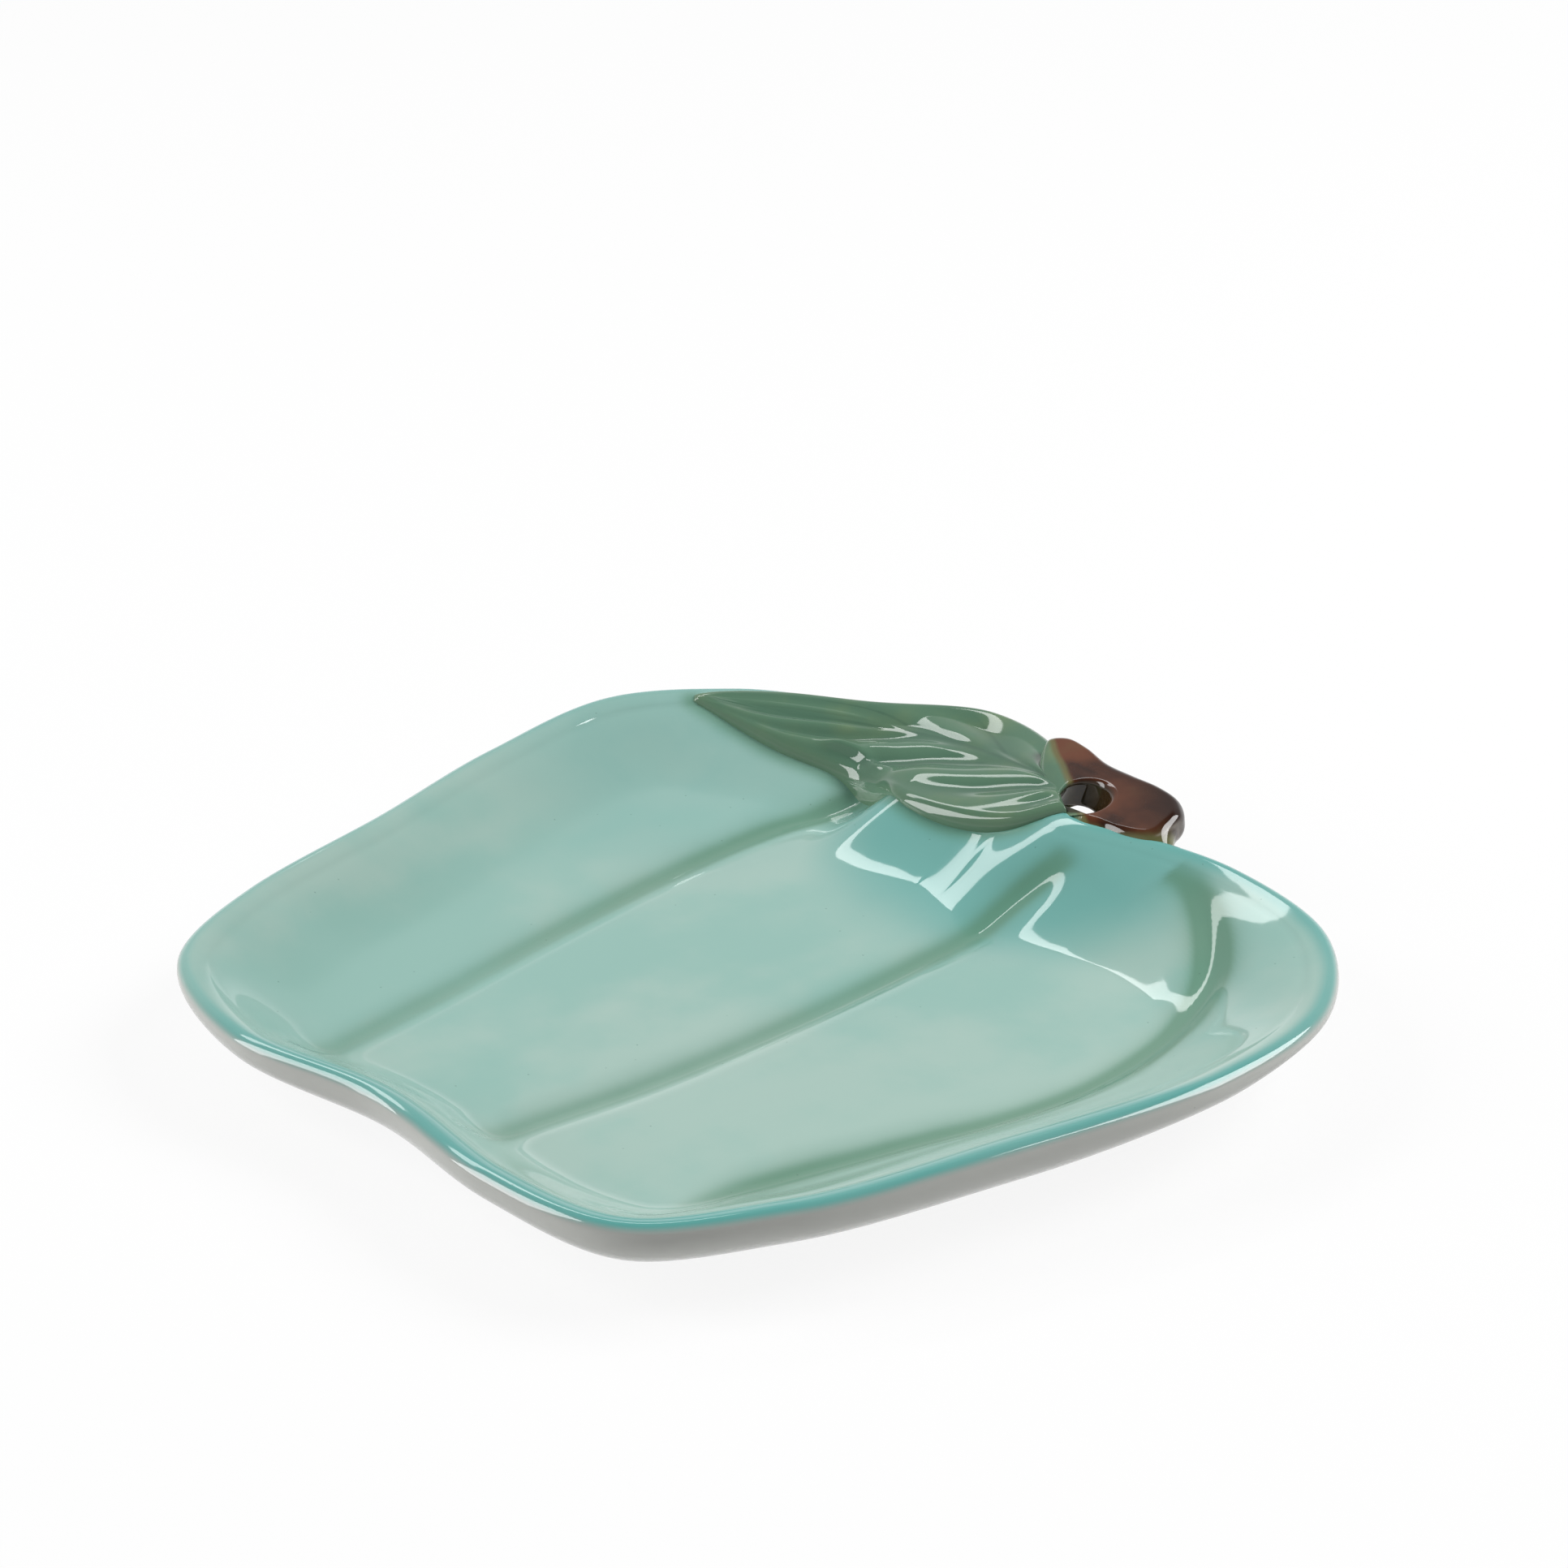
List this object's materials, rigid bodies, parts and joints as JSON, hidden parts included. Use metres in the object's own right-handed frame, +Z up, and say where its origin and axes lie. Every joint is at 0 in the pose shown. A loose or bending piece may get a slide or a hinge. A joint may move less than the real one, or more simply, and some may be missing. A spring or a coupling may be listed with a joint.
{
  "type": "pepper-shaped plate",
  "caption": "Shallow glazed ceramic plate shaped like a bell pepper, with lobes divided by grooves, a foot ring, a leaf over one shoulder and a stem with a hanging eye.",
  "frame": {"origin": "middle of the bounding box, on the table under the foot ring", "axes": "+Z up out of the dish, +Y from the blossom end to the stem, +X to the right with the stem at the top"},
  "size_m": [0.2094, 0.2094, 0.0264],
  "materials": {
    "aqua_glaze": "glossy translucent aqua, greener where it pools in the grooves, near white on the underside",
    "bare_foot": "wiped clean of glaze, matt",
    "leaf_glaze": "glossy sage green with darker veins",
    "stem_glaze": "glossy brown, streaked along its length"
  },
  "bodies": {
    "root": {"dish_body": "aqua_glaze", "foot_ring": "bare_foot", "leaf": "leaf_glaze", "stem": "stem_glaze"}
  },
  "joints": []
}
